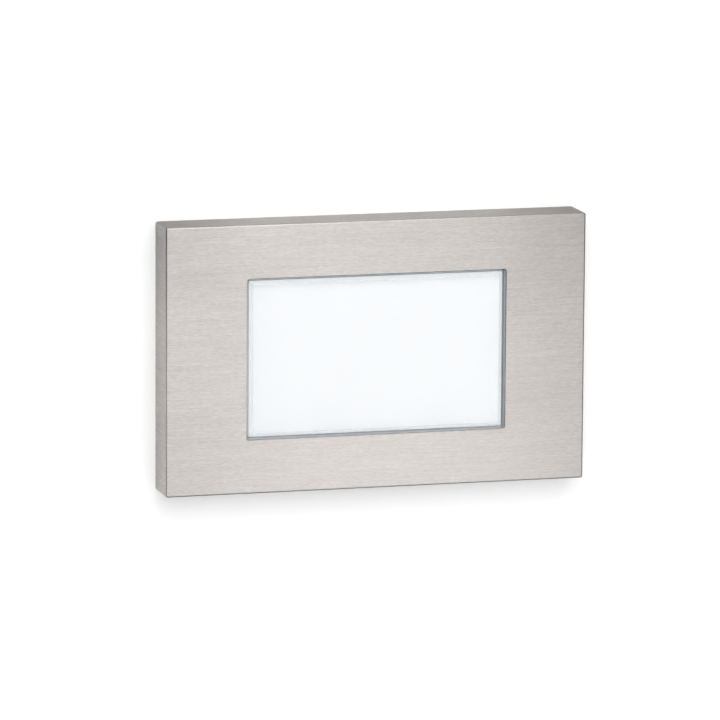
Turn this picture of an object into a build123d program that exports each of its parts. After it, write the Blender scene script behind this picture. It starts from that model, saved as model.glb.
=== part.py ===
from build123d import *
import os

# Recessed step light for a single-gang wall box. The origin is on the face of the wall, in the middle
# of the light: X runs along the faceplate, Z is up, and the room is on the -Y side.

os.makedirs("parts", exist_ok=True)

# ---- Driving dimensions, in millimetres ----

# Faceplate
plate_length = 127.0
plate_height = 79.4
plate_depth = 12.7
plate_wall = 2.5
plate_rim = 2.0
plate_corner_radius = 0.7
plate_inner_radius = 1.0
plate_edge_radius = 0.5
window_length = 78.2
window_height = 47.3
window_corner_radius = 0.6
window_edge_break = 0.25

# Lens, its seal and the diffuser behind it
lens_gap_side = 0.5
lens_gap_top = 0.4
lens_recess = 0.3
lens_thickness = 4.0
lens_bevel = 1.2
lens_arris = 0.2
lens_seal = 0.5
recess_corner_radius = 1.7
diffuser_thickness = 2.0

# Reflector
reflector_lip = 0.6
reflector_wall = 0.8
reflector_gap = 0.6
reflector_lip_gap = 0.4
reflector_board_gap = 0.2
throat_screw_gap = 1.5

# Wall gasket and mounting bracket
wall_gasket_thickness = 1.0
wall_gasket_side_width = 8.0
wall_gasket_top_width = 4.0
bracket_thickness = 1.5
bracket_side_margin = 5.0
bracket_top_margin = 2.0
bracket_corner_radius = 1.5
bracket_tub_gap = 0.8
tab_length = 14.0
tab_end_margin = 3.0
tab_front_gap = 0.7
hang_gap = 0.2

# Screws into the wall box, at the spacing of the box's ears
box_screw_spacing = 83.34
box_screw_radius = 1.75
box_screw_neck_radius = 1.45
box_screw_neck_length = 2.0
box_screw_thread_length = 22.0
box_screw_head_radius = 3.45
box_screw_head_height = 2.0
box_screw_pocket_gap = 1.3
box_slot_length = 7.0
box_slot_width = 4.2

# Grub screws that lock the faceplate, and the bosses that they run in
set_screw_radius = 2.0
set_screw_recess = 1.65
set_screw_tip_gap = 0.1
set_screw_tip_chamfer = 0.5
set_screw_socket_radius = 1.15
set_screw_socket_share = 0.37
boss_length = 8.0
boss_lock_gap = 1.0
boss_back_gap = 3.0

# Housing of the light engine
frame_wall = 2.0
frame_gap = 0.2
frame_corner_radius = 2.5
flange_thickness = 2.5
flange_edge = 4.0
flange_top_border = 4.2
flange_corner_radius = 3.0
tub_length = 69.0
tub_height = 45.0
tub_wall = 2.0
tub_corner_radius = 4.0
chamber_reach = 8.0
web_thickness = 3.0
driver_bay_depth = 25.0
fin_count = 9
fin_pitch = 6.8
fin_thickness = 1.5
fin_height = 1.5
fin_start = 2.0
fin_end_gap = 2.0

# Screws from the housing into the bracket
housing_screw_radius = 1.5
housing_screw_head_radius = 2.75
housing_screw_head_height = 2.0
housing_screw_frame_gap = 2.15
housing_screw_tip_gap = 0.2

# LED board
pad_thickness = 0.3
pad_margin = 1.0
led_board_thickness = 1.6
led_board_side_gap = 3.0
led_board_top_gap = 2.0
led_board_corner_radius = 1.0
led_length = 3.5
led_width = 2.8
led_height = 0.8
led_columns = 6
led_rows = 2
led_pitch_x = 6.5
led_pitch_z = 9.0
led_screw_inset = 3.0
led_screw_radius = 1.25
led_screw_head_radius = 2.25
led_screw_head_height = 1.6
led_screw_bite = 2.2
connector_length = 3.6
connector_width = 6.0
connector_height = 2.6

# Leads from the LED board to the driver
lead_radius = 0.6
lead_spacing = 3.0
lead_edge = 2.5
lead_seat = 1.5
lead_loop_depth = 11.5
lead_loop_width = 9.0
lead_arc_share = 0.45
lead_hole_gap = 0.1
bushing_radius = 3.0
bushing_lip_radius = 3.8
bushing_lip_thickness = 0.8
bushing_hole_gap = 0.2

# Driver board
standoff_height = 3.0
standoff_radius = 2.5
driver_board_thickness = 1.6
driver_board_post_gap = 0.5
driver_board_top_gap = 2.5
driver_screw_inset = 3.0
driver_screw_radius = 1.25
driver_screw_head_radius = 2.25
driver_screw_head_height = 1.6
insulator_thickness = 0.4
insulator_gap = 0.5

# Parts on the driver board, laid out from its supply end: sizes are along X, Z and out of the board
transformer_pitch = 12.5
transformer_z = 4.0
transformer_core_length = 14.0
transformer_core_width = 16.0
transformer_core_height = 12.0
transformer_leg = 3.5
winding_gap = 0.3
winding_overhang = 1.5
input_capacitor_z = 8.0
input_capacitor_radius = 4.0
input_capacitor_height = 14.0
output_pitch = 12.0
output_capacitor_z = -10.0
output_capacitor_radius = 3.15
output_capacitor_height = 11.0
capacitor_groove = 0.3
capacitor_groove_height = 1.2
bridge_z = -2.0
bridge_size = (5.0, 4.2, 2.5)
choke_offset = 3.0
choke_z = -12.0
choke_radius = 4.0
choke_core_radius = 2.6
choke_flange = 1.2
choke_height = 9.0
fuse_gap = 0.3
fuse_z = -9.5
fuse_size = (8.4, 4.0, 8.0)
varistor_z = 5.0
varistor_radius = 4.0
varistor_thickness = 3.5
chip_z = 9.0
chip_size = (5.0, 4.0, 1.6)
terminal_edge_gap = 1.5
terminal_screw_gap = 1.25
terminal_size = (7.0, 9.0, 10.0)
terminal_ways = 3
terminal_hole_radius = 1.1
terminal_hole_depth = 6.0
component_round = 0.4

# Rear cover
cover_gasket_thickness = 1.0
cover_thickness = 2.0
cover_post_radius = 3.5
cover_post_inset = 3.0
cover_screw_radius = 1.5
cover_screw_head_radius = 2.75
cover_screw_head_height = 1.8
cover_screw_bite = 5.0
entry_x = 14.0
entry_radius = 3.5
entry_wall = 1.5
entry_lip = 1.5
entry_lip_thickness = 1.2
ground_x = -14.0
ground_screw_radius = 2.0
ground_screw_head_radius = 3.8
ground_screw_head_height = 2.4
ground_boss_radius = 4.0
ground_boss_height = 3.0

# Fits that recur, and the shape of a screw's head
thread_gap = 0.05
shank_gap = 0.2
head_round_share = 0.4
recess_length_share = 1.2
recess_width_share = 0.3
recess_depth_share = 0.5
tip_chamfer_share = 0.25

# ---- Depths along Y, from the room into the wall ----

plate_front_y = -plate_depth
plate_inner_y = plate_front_y + plate_wall
lens_front_y = plate_front_y + lens_recess
lens_back_y = lens_front_y + lens_thickness
diffuser_back_y = lens_back_y + diffuser_thickness
ledge_y = diffuser_back_y + reflector_lip
frame_front_y = plate_inner_y + frame_gap
tab_front_y = plate_inner_y + tab_front_gap
boss_back_y = -boss_back_gap
lock_y = (plate_inner_y + boss_back_y) / 2
bracket_back_y = -wall_gasket_thickness
bracket_front_y = bracket_back_y - bracket_thickness
flange_front_y = bracket_front_y - flange_thickness
web_front_y = chamber_reach
pad_front_y = web_front_y - pad_thickness
led_board_front_y = pad_front_y - led_board_thickness
throat_y = led_board_front_y - reflector_board_gap
web_back_y = web_front_y + web_thickness
driver_board_front_y = web_back_y + standoff_height
driver_board_back_y = driver_board_front_y + driver_board_thickness
rim_y = web_back_y + driver_bay_depth
cover_front_y = rim_y + cover_gasket_thickness
cover_back_y = cover_front_y + cover_thickness

# ---- Sizes and places across the light, from the window outwards ----

lens_length = window_length - 2 * lens_gap_side
lens_height = window_height - 2 * lens_gap_top
recess_length = lens_length + 2 * lens_seal
recess_height = lens_height + 2 * lens_seal
frame_length = recess_length + 2 * frame_wall
frame_height = recess_height + 2 * frame_wall
housing_screw_x = frame_length / 2 + housing_screw_frame_gap + housing_screw_head_radius
flange_length = 2 * (housing_screw_x + flange_edge)
flange_height = frame_height + 2 * flange_top_border
housing_screw_z = flange_height / 2 - flange_edge
bracket_length = flange_length + 2 * bracket_side_margin
bracket_height = flange_height + 2 * bracket_top_margin
hang_z = plate_height / 2 - plate_rim - hang_gap
lock_z = -bracket_height / 2
tab_x = (bracket_length - tab_length) / 2 - tab_end_margin

chamber_length = tub_length - 2 * tub_wall
chamber_height = tub_height - 2 * tub_wall
chamber_corner_radius = tub_corner_radius - tub_wall
led_board_length = chamber_length - 2 * led_board_side_gap
led_board_height = chamber_height - 2 * led_board_top_gap
led_screw_x = led_board_length / 2 - led_screw_inset
led_screw_z = led_board_height / 2 - led_screw_inset
mouth_length = chamber_length - 2 * reflector_gap
mouth_height = chamber_height - 2 * reflector_gap
throat_length = 2 * (led_screw_x - led_screw_head_radius - throat_screw_gap)
throat_height = 2 * (led_screw_z - led_screw_head_radius - throat_screw_gap)
lead_x = -(led_board_length / 2 - lead_edge)
lead_hole_radius = lead_spacing / 2 + lead_radius + bushing_hole_gap

post_x = chamber_length / 2 - cover_post_inset
post_z = chamber_height / 2 - cover_post_inset
driver_board_length = 2 * (post_x - cover_post_radius - driver_board_post_gap)
driver_board_height = chamber_height - 2 * driver_board_top_gap
driver_screw_x = driver_board_length / 2 - driver_screw_inset
driver_screw_z = driver_board_height / 2 - driver_screw_inset
terminal_x = driver_board_length / 2 - terminal_edge_gap - terminal_size[0] / 2
terminal_bottom_z = -driver_screw_z + driver_screw_head_radius + terminal_screw_gap
terminal_at = (terminal_x, terminal_bottom_z + terminal_size[1] / 2)
varistor_at = (terminal_x, varistor_z)
input_x = terminal_x - terminal_size[0] / 2 - fuse_gap - fuse_size[0] / 2
fuse_at = (input_x, fuse_z)
bridge_at = (input_x, bridge_z)
input_capacitor_at = (input_x, input_capacitor_z)
transformer_x = input_x - transformer_pitch
transformer_at = (transformer_x, transformer_z)
choke_at = (transformer_x + choke_offset, choke_z)
output_x = transformer_x - output_pitch
output_capacitor_at = (output_x, output_capacitor_z)
chip_at = (output_x, chip_z)


def facing(y):
    """The plane across the light at depth y, whose normal points into the room and local y up."""
    return Plane.XZ.offset(-y)


def corners(x, z):
    """The four corners of a rectangle about the middle of the light."""
    return [(-x, -z), (x, -z), (-x, z), (x, z)]


def pan_screw(head_radius, head_height, shank_radius, shank_length):
    """A cross-recess pan-head screw: seat at the origin, head towards +Z and shank towards -Z."""
    recess_length = head_radius * recess_length_share
    recess_width = head_radius * recess_width_share
    with BuildPart() as screw:
        with BuildSketch():
            Circle(head_radius)
        extrude(amount=head_height)
        fillet(screw.edges().group_by(Axis.Z)[-1], radius=head_height * head_round_share)
        with BuildSketch():
            Circle(shank_radius)
        extrude(amount=-shank_length)
        chamfer(screw.edges().group_by(Axis.Z)[0], length=shank_radius * tip_chamfer_share)
        with BuildSketch(Plane.XY.offset(head_height)):
            Rectangle(recess_length, recess_width)
            Rectangle(recess_width, recess_length)
        extrude(amount=-head_height * recess_depth_share, mode=Mode.SUBTRACT)
    return screw.part


# ---- Faceplate and its lock ----

with BuildPart() as faceplate:
    with BuildSketch(facing(0)):
        RectangleRounded(plate_length, plate_height, plate_corner_radius)
    extrude(amount=plate_depth)
    fillet(faceplate.faces().sort_by(Axis.Y)[0].edges(), radius=plate_edge_radius)
    with BuildSketch(facing(0)):
        RectangleRounded(plate_length - 2 * plate_rim, plate_height - 2 * plate_rim, plate_inner_radius)
    extrude(amount=plate_depth - plate_wall, mode=Mode.SUBTRACT)
    boss_bottom_z = -plate_height / 2 + plate_rim
    boss_top_z = lock_z - boss_lock_gap
    with BuildSketch(facing(boss_back_y)):
        with Locations((-tab_x, (boss_top_z + boss_bottom_z) / 2), (tab_x, (boss_top_z + boss_bottom_z) / 2)):
            Rectangle(boss_length, boss_top_z - boss_bottom_z)
    extrude(amount=boss_back_y - plate_inner_y)
    with BuildSketch(facing(plate_front_y)):
        RectangleRounded(window_length, window_height, window_corner_radius)
    extrude(amount=-plate_wall, mode=Mode.SUBTRACT)
    chamfer(
        faceplate.faces().sort_by(Axis.Y)[0].inner_wires()[0].edges(),
        length=window_edge_break,
    )
    with BuildSketch(Plane.XY.offset(-plate_height / 2)):
        with Locations((-tab_x, lock_y), (tab_x, lock_y)):
            Circle(set_screw_radius + thread_gap)
    extrude(amount=boss_top_z + plate_height / 2, mode=Mode.SUBTRACT)

faceplate.part.label = "faceplate"
export_step(faceplate.part, "parts/faceplate.step")


def set_screw(x):
    """The grub screw at x: its tip stands just below the bracket's locking tab, its socket points down."""
    tip_z = lock_z - set_screw_tip_gap
    foot_z = -plate_height / 2 + set_screw_recess
    set_screw_length = tip_z - foot_z
    with BuildPart() as screw:
        with BuildSketch(Plane.XY.offset(foot_z)):
            with Locations((x, lock_y)):
                Circle(set_screw_radius)
        extrude(amount=set_screw_length)
        chamfer(screw.edges().group_by(Axis.Z)[-1], length=set_screw_tip_chamfer)
        with BuildSketch(Plane.XY.offset(foot_z)):
            with Locations((x, lock_y)):
                RegularPolygon(set_screw_socket_radius, 6)
        extrude(amount=set_screw_length * set_screw_socket_share, mode=Mode.SUBTRACT)
    return screw.part


with BuildPart() as set_screw_left:
    add(set_screw(-tab_x))

set_screw_left.part.label = "set_screw_left"
export_step(set_screw_left.part, "parts/set_screw_left.step")

with BuildPart() as set_screw_right:
    add(set_screw(tab_x))

set_screw_right.part.label = "set_screw_right"
export_step(set_screw_right.part, "parts/set_screw_right.step")

# ---- What stays on the wall box ----

with BuildPart() as mounting_bracket:
    neck_height = hang_z + bracket_height / 2
    tab_reach = bracket_back_y - tab_front_y
    with BuildSketch(facing(bracket_back_y)):
        RectangleRounded(bracket_length, bracket_height, bracket_corner_radius)
        with Locations((-tab_x, hang_z - neck_height / 2), (tab_x, hang_z - neck_height / 2)):
            Rectangle(tab_length, neck_height)
    extrude(amount=bracket_thickness)
    hang_tab_z = hang_z - bracket_thickness / 2
    lock_tab_z = lock_z + bracket_thickness / 2
    with BuildSketch(facing(bracket_back_y)):
        with Locations((-tab_x, hang_tab_z), (tab_x, hang_tab_z), (-tab_x, lock_tab_z), (tab_x, lock_tab_z)):
            Rectangle(tab_length, bracket_thickness)
    extrude(amount=tab_reach)
    opening_length = tub_length + 2 * bracket_tub_gap
    opening_height = tub_height + 2 * fin_height + 2 * bracket_tub_gap
    with BuildSketch(facing(bracket_back_y)):
        RectangleRounded(opening_length, opening_height, tub_corner_radius)
        with Locations((-box_screw_spacing / 2, 0), (box_screw_spacing / 2, 0)):
            SlotOverall(box_slot_length, box_slot_width)
        with Locations(*corners(housing_screw_x, housing_screw_z)):
            Circle(housing_screw_radius + thread_gap)
    extrude(amount=bracket_thickness, mode=Mode.SUBTRACT)

mounting_bracket.part.label = "mounting_bracket"
export_step(mounting_bracket.part, "parts/mounting_bracket.step")

with BuildPart() as wall_gasket:
    with BuildSketch(facing(0)):
        RectangleRounded(bracket_length, bracket_height, bracket_corner_radius)
        Rectangle(
            bracket_length - 2 * wall_gasket_side_width,
            bracket_height - 2 * wall_gasket_top_width,
            mode=Mode.SUBTRACT,
        )
    extrude(amount=wall_gasket_thickness)

wall_gasket.part.label = "wall_gasket"
export_step(wall_gasket.part, "parts/wall_gasket.step")

box_screw = pan_screw(
    box_screw_head_radius, box_screw_head_height, box_screw_neck_radius, box_screw_neck_length
)

with BuildPart(facing(bracket_front_y)) as box_screws:
    with Locations((-box_screw_spacing / 2, 0), (box_screw_spacing / 2, 0)):
        add(box_screw)
    with BuildSketch(facing(bracket_front_y + box_screw_neck_length)):
        with Locations((-box_screw_spacing / 2, 0), (box_screw_spacing / 2, 0)):
            Circle(box_screw_radius)
    extrude(amount=-box_screw_thread_length)
    chamfer(
        box_screws.edges().group_by(Axis.Y)[-1],
        length=box_screw_radius * tip_chamfer_share,
    )

box_screws.part.label = "box_screws"
export_step(box_screws.part, "parts/box_screws.step")

# ---- Housing ----

with BuildPart() as housing:
    with BuildSketch(facing(bracket_front_y)):
        RectangleRounded(flange_length, flange_height, flange_corner_radius)
    extrude(amount=flange_thickness)
    with BuildSketch(facing(bracket_front_y)):
        RectangleRounded(frame_length, frame_height, frame_corner_radius)
    extrude(amount=bracket_front_y - frame_front_y)
    with BuildSketch(facing(rim_y)):
        RectangleRounded(tub_length, tub_height, tub_corner_radius)
    extrude(amount=rim_y - bracket_front_y)
    fin_back_y = rim_y - fin_end_gap
    with BuildSketch(facing(fin_back_y)):
        with GridLocations(fin_pitch, 0, fin_count, 1):
            Rectangle(fin_thickness, tub_height + 2 * fin_height)
    extrude(amount=fin_back_y - fin_start)
    with BuildSketch(facing(ledge_y)):
        RectangleRounded(recess_length, recess_height, recess_corner_radius)
    extrude(amount=ledge_y - frame_front_y, mode=Mode.SUBTRACT)
    with BuildSketch(facing(web_front_y)):
        RectangleRounded(chamber_length, chamber_height, chamber_corner_radius)
    extrude(amount=web_front_y - ledge_y, mode=Mode.SUBTRACT)
    with BuildSketch(facing(rim_y)):
        RectangleRounded(chamber_length, chamber_height, chamber_corner_radius)
    extrude(amount=driver_bay_depth, mode=Mode.SUBTRACT)
    with BuildSketch(facing(rim_y)):
        with Locations(*corners(post_x, post_z)):
            Circle(cover_post_radius)
    extrude(amount=driver_bay_depth)
    with BuildSketch(facing(driver_board_front_y)):
        with Locations(*corners(driver_screw_x, driver_screw_z)):
            Circle(standoff_radius)
    extrude(amount=standoff_height)
    # Holes: from the front the LED board's screws, from the back the driver's and the cover's
    with BuildSketch(facing(web_front_y)):
        with Locations(*corners(led_screw_x, led_screw_z)):
            Circle(led_screw_radius + thread_gap)
    extrude(amount=-led_screw_bite, mode=Mode.SUBTRACT)
    with BuildSketch(facing(web_front_y)):
        with Locations((lead_x, 0)):
            Circle(bushing_radius)
    extrude(amount=-web_thickness, mode=Mode.SUBTRACT)
    with BuildSketch(facing(driver_board_front_y)):
        with Locations(*corners(driver_screw_x, driver_screw_z)):
            Circle(driver_screw_radius + thread_gap)
    extrude(amount=standoff_height, mode=Mode.SUBTRACT)
    with BuildSketch(facing(rim_y)):
        with Locations(*corners(post_x, post_z)):
            Circle(cover_screw_radius + thread_gap)
    extrude(amount=cover_screw_bite, mode=Mode.SUBTRACT)
    with BuildSketch(facing(bracket_front_y)):
        with Locations(*corners(housing_screw_x, housing_screw_z)):
            Circle(housing_screw_radius + shank_gap)
        with Locations((-box_screw_spacing / 2, 0), (box_screw_spacing / 2, 0)):
            Circle(box_screw_head_radius + box_screw_pocket_gap)
    extrude(amount=flange_thickness, mode=Mode.SUBTRACT)

housing.part.label = "housing"
export_step(housing.part, "parts/housing.step")

housing_screw = pan_screw(
    housing_screw_head_radius,
    housing_screw_head_height,
    housing_screw_radius,
    flange_thickness + bracket_thickness - housing_screw_tip_gap,
)

with BuildPart(facing(flange_front_y)) as housing_screws:
    with Locations(*corners(housing_screw_x, housing_screw_z)):
        add(housing_screw)

housing_screws.part.label = "housing_screws"
export_step(housing_screws.part, "parts/housing_screws.step")

# ---- Lens, seal, diffuser and reflector ----

with BuildPart() as lens:
    with BuildSketch(facing(lens_back_y)):
        Rectangle(lens_length, lens_height)
    extrude(amount=lens_thickness)
    chamfer(lens.faces().sort_by(Axis.Y)[0].edges(), length=lens_bevel)
    chamfer(lens.faces().sort_by(Axis.Y)[-1].edges(), length=lens_arris)

lens.part.label = "lens"
export_step(lens.part, "parts/lens.step")

with BuildPart() as diffuser:
    with BuildSketch(facing(diffuser_back_y)):
        Rectangle(lens_length, lens_height)
    extrude(amount=diffuser_thickness)

diffuser.part.label = "diffuser"
export_step(diffuser.part, "parts/diffuser.step")

with BuildPart() as lens_gasket:
    with BuildSketch(facing(diffuser_back_y)):
        RectangleRounded(recess_length, recess_height, recess_corner_radius)
        Rectangle(lens_length, lens_height, mode=Mode.SUBTRACT)
    extrude(amount=diffuser_back_y - frame_front_y)

lens_gasket.part.label = "lens_gasket"
export_step(lens_gasket.part, "parts/lens_gasket.step")

with BuildPart() as reflector:
    with BuildSketch(facing(ledge_y)):
        RectangleRounded(
            recess_length - 2 * reflector_lip_gap,
            recess_height - 2 * reflector_lip_gap,
            recess_corner_radius - reflector_lip_gap,
        )
    extrude(amount=reflector_lip)
    with BuildSketch(facing(ledge_y)):
        Rectangle(mouth_length, mouth_height)
    with BuildSketch(facing(throat_y)):
        Rectangle(throat_length, throat_height)
    loft()
    with BuildSketch(facing(diffuser_back_y)):
        Rectangle(mouth_length - 2 * reflector_wall, mouth_height - 2 * reflector_wall)
    with BuildSketch(facing(throat_y)):
        Rectangle(throat_length - 2 * reflector_wall, throat_height - 2 * reflector_wall)
    loft(mode=Mode.SUBTRACT)

reflector.part.label = "reflector"
export_step(reflector.part, "parts/reflector.step")

# ---- LED board ----

with BuildPart() as thermal_pad:
    with BuildSketch(facing(web_front_y)):
        Rectangle(led_board_length - 2 * pad_margin, led_board_height - 2 * pad_margin)
        with Locations(*corners(led_screw_x, led_screw_z)):
            Circle(led_screw_radius + shank_gap, mode=Mode.SUBTRACT)
        with Locations((lead_x, 0)):
            Circle(lead_hole_radius, mode=Mode.SUBTRACT)
    extrude(amount=pad_thickness)

thermal_pad.part.label = "thermal_pad"
export_step(thermal_pad.part, "parts/thermal_pad.step")

with BuildPart() as led_board:
    with BuildSketch(facing(pad_front_y)):
        RectangleRounded(led_board_length, led_board_height, led_board_corner_radius)
        with Locations(*corners(led_screw_x, led_screw_z)):
            Circle(led_screw_radius + shank_gap, mode=Mode.SUBTRACT)
        with Locations((lead_x, 0)):
            Circle(lead_hole_radius, mode=Mode.SUBTRACT)
    extrude(amount=led_board_thickness)

led_board.part.label = "led_board"
export_step(led_board.part, "parts/led_board.step")

with BuildPart() as leds:
    with BuildSketch(facing(led_board_front_y)):
        with GridLocations(led_pitch_x, led_pitch_z, led_columns, led_rows):
            Rectangle(led_length, led_width)
    extrude(amount=led_height)

leds.part.label = "leds"
export_step(leds.part, "parts/leds.step")

with BuildPart() as led_connector:
    with BuildSketch(facing(led_board_front_y)):
        with Locations((lead_x, 0)):
            Rectangle(connector_length, connector_width)
    extrude(amount=connector_height)
    with BuildSketch(facing(led_board_front_y)):
        with Locations((lead_x, 0)):
            with GridLocations(0, lead_spacing, 1, 2):
                Circle(lead_radius + lead_hole_gap)
    extrude(amount=lead_seat, mode=Mode.SUBTRACT)

led_connector.part.label = "led_connector"
export_step(led_connector.part, "parts/led_connector.step")

led_board_screw = pan_screw(
    led_screw_head_radius,
    led_screw_head_height,
    led_screw_radius,
    led_board_thickness + pad_thickness + led_screw_bite - thread_gap,
)

with BuildPart(facing(led_board_front_y)) as led_board_screws:
    with Locations(*corners(led_screw_x, led_screw_z)):
        add(led_board_screw)

led_board_screws.part.label = "led_board_screws"
export_step(led_board_screws.part, "parts/led_board_screws.step")

# ---- Leads to the driver, and the bushing that they pass through ----

with BuildPart() as lead_grommet:
    with BuildSketch(facing(web_back_y)):
        with Locations((lead_x, 0)):
            Circle(bushing_radius)
    extrude(amount=web_thickness)
    with BuildSketch(facing(web_back_y)):
        with Locations((lead_x, 0)):
            Circle(bushing_lip_radius)
    extrude(amount=-bushing_lip_thickness)
    with BuildSketch(facing(web_front_y)):
        with Locations((lead_x, 0)):
            with GridLocations(0, lead_spacing, 1, 2):
                Circle(lead_radius + lead_hole_gap)
    extrude(amount=-web_thickness - bushing_lip_thickness, mode=Mode.SUBTRACT)

lead_grommet.part.label = "lead_grommet"
export_step(lead_grommet.part, "parts/lead_grommet.step")


def led_lead(z):
    """A lead at height z: straight through the web, past the driver board's edge and back to its pad."""
    start_y = led_board_front_y - lead_seat + lead_hole_gap
    turn_y = web_back_y + standoff_height + lead_loop_depth
    pad_x = lead_x + lead_loop_width
    points = [(lead_x, start_y, z), (lead_x, turn_y, z), (pad_x, turn_y, z), (pad_x, driver_board_back_y, z)]
    first_radius = lead_arc_share * min(turn_y - start_y, lead_loop_width)
    second_radius = lead_arc_share * min(turn_y - driver_board_back_y, lead_loop_width)
    with BuildPart() as lead:
        with BuildLine() as route:
            FilletPolyline(*points, radius=[first_radius, second_radius])
        with BuildSketch(Plane(origin=route.line @ 0, z_dir=route.line % 0)):
            Circle(lead_radius)
        sweep()
    return lead.part


with BuildPart() as led_lead_red:
    add(led_lead(lead_spacing / 2))

led_lead_red.part.label = "led_lead_red"
export_step(led_lead_red.part, "parts/led_lead_red.step")

with BuildPart() as led_lead_black:
    add(led_lead(-lead_spacing / 2))

led_lead_black.part.label = "led_lead_black"
export_step(led_lead_black.part, "parts/led_lead_black.step")

# ---- Driver board ----

with BuildPart() as driver_insulator:
    insulator_length = 2 * (driver_screw_x - standoff_radius - insulator_gap)
    with BuildSketch(facing(web_back_y)):
        Rectangle(insulator_length, driver_board_height - 2 * insulator_gap)
    extrude(amount=-insulator_thickness)

driver_insulator.part.label = "driver_insulator"
export_step(driver_insulator.part, "parts/driver_insulator.step")

with BuildPart() as driver_board:
    with BuildSketch(facing(driver_board_back_y)):
        Rectangle(driver_board_length, driver_board_height)
        with Locations(*corners(driver_screw_x, driver_screw_z)):
            Circle(driver_screw_radius + shank_gap, mode=Mode.SUBTRACT)
    extrude(amount=driver_board_thickness)

driver_board.part.label = "driver_board"
export_step(driver_board.part, "parts/driver_board.step")

driver_board_screw = pan_screw(
    driver_screw_head_radius,
    driver_screw_head_height,
    driver_screw_radius,
    driver_board_thickness + standoff_height - thread_gap,
)

with BuildPart(facing(driver_board_back_y)) as driver_board_screws:
    with Locations(*corners(driver_screw_x, driver_screw_z)):
        with Locations(Rotation(180, 0, 0)):
            add(driver_board_screw)

driver_board_screws.part.label = "driver_board_screws"
export_step(driver_board_screws.part, "parts/driver_board_screws.step")

with BuildPart() as transformer_core:
    leg_gap = transformer_core_width - 2 * transformer_leg
    with BuildSketch(facing(driver_board_back_y)):
        with Locations(transformer_at):
            Rectangle(transformer_core_length, transformer_core_width)
    extrude(amount=-transformer_core_height)
    with BuildSketch(facing(driver_board_back_y)):
        with Locations(transformer_at):
            Rectangle(transformer_core_length, leg_gap)
    extrude(amount=-transformer_core_height + transformer_leg, mode=Mode.SUBTRACT)

transformer_core.part.label = "transformer_core"
export_step(transformer_core.part, "parts/transformer_core.step")

with BuildPart() as transformer_winding:
    winding_length = transformer_core_length + 2 * winding_overhang
    winding_width = transformer_core_width - 2 * transformer_leg - 2 * winding_gap
    with BuildSketch(facing(driver_board_back_y)):
        with Locations(transformer_at):
            Rectangle(winding_length, winding_width)
    extrude(amount=-transformer_core_height + transformer_leg + winding_gap)
    fillet(transformer_winding.edges().filter_by(Axis.Y), radius=component_round)

transformer_winding.part.label = "transformer_winding"
export_step(transformer_winding.part, "parts/transformer_winding.step")


def capacitor(at, radius, height):
    """A radial capacitor standing on the board, with the crimp groove near its foot."""
    with BuildPart() as can:
        with BuildSketch(facing(driver_board_back_y)):
            with Locations(at):
                Circle(radius)
        extrude(amount=-height)
        fillet(can.edges().group_by(Axis.Y)[-1], radius=component_round)
        with BuildSketch(facing(driver_board_back_y + capacitor_groove_height)):
            with Locations(at):
                Circle(radius)
                Circle(radius - capacitor_groove, mode=Mode.SUBTRACT)
        extrude(amount=-capacitor_groove, mode=Mode.SUBTRACT)
    return can.part


with BuildPart() as input_capacitor:
    add(capacitor(input_capacitor_at, input_capacitor_radius, input_capacitor_height))

input_capacitor.part.label = "input_capacitor"
export_step(input_capacitor.part, "parts/input_capacitor.step")

with BuildPart() as output_capacitor:
    add(capacitor(output_capacitor_at, output_capacitor_radius, output_capacitor_height))

output_capacitor.part.label = "output_capacitor"
export_step(output_capacitor.part, "parts/output_capacitor.step")


def block(at, size):
    """A moulded block standing on the board, with its upright edges rounded."""
    length, width, height = size
    with BuildPart() as moulding:
        with BuildSketch(facing(driver_board_back_y)):
            with Locations(at):
                Rectangle(length, width)
        extrude(amount=-height)
        fillet(moulding.edges().filter_by(Axis.Y), radius=component_round)
    return moulding.part


with BuildPart() as bridge_rectifier:
    add(block(bridge_at, bridge_size))

bridge_rectifier.part.label = "bridge_rectifier"
export_step(bridge_rectifier.part, "parts/bridge_rectifier.step")

with BuildPart() as fuse:
    add(block(fuse_at, fuse_size))

fuse.part.label = "fuse"
export_step(fuse.part, "parts/fuse.step")

with BuildPart() as driver_chip:
    add(block(chip_at, chip_size))

driver_chip.part.label = "driver_chip"
export_step(driver_chip.part, "parts/driver_chip.step")

with BuildPart() as choke:
    with BuildSketch(facing(driver_board_back_y)):
        with Locations(choke_at):
            Circle(choke_radius)
    extrude(amount=-choke_height)
    with BuildSketch(facing(driver_board_back_y + choke_flange)):
        with Locations(choke_at):
            Circle(choke_radius)
            Circle(choke_core_radius, mode=Mode.SUBTRACT)
    extrude(amount=-choke_height + 2 * choke_flange, mode=Mode.SUBTRACT)

choke.part.label = "choke"
export_step(choke.part, "parts/choke.step")

with BuildPart() as varistor:
    varistor_x, varistor_z = varistor_at
    disc_plane = Plane.YZ.offset(varistor_x - varistor_thickness / 2)
    with BuildSketch(disc_plane):
        with Locations((driver_board_back_y + varistor_radius, varistor_z)):
            Circle(varistor_radius)
        with Locations((driver_board_back_y + varistor_radius / 2, varistor_z)):
            Rectangle(varistor_radius, varistor_radius)
    extrude(amount=varistor_thickness)

varistor.part.label = "varistor"
export_step(varistor.part, "parts/varistor.step")

with BuildPart() as terminal_block:
    add(block(terminal_at, terminal_size))
    terminal_back_y = driver_board_back_y + terminal_size[2]
    terminal_pitch = terminal_size[1] / terminal_ways
    with BuildSketch(facing(terminal_back_y)):
        with Locations(terminal_at):
            with GridLocations(0, terminal_pitch, 1, terminal_ways):
                Circle(terminal_hole_radius)
    extrude(amount=terminal_hole_depth, mode=Mode.SUBTRACT)

terminal_block.part.label = "terminal_block"
export_step(terminal_block.part, "parts/terminal_block.step")

# ---- Rear cover ----

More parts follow.
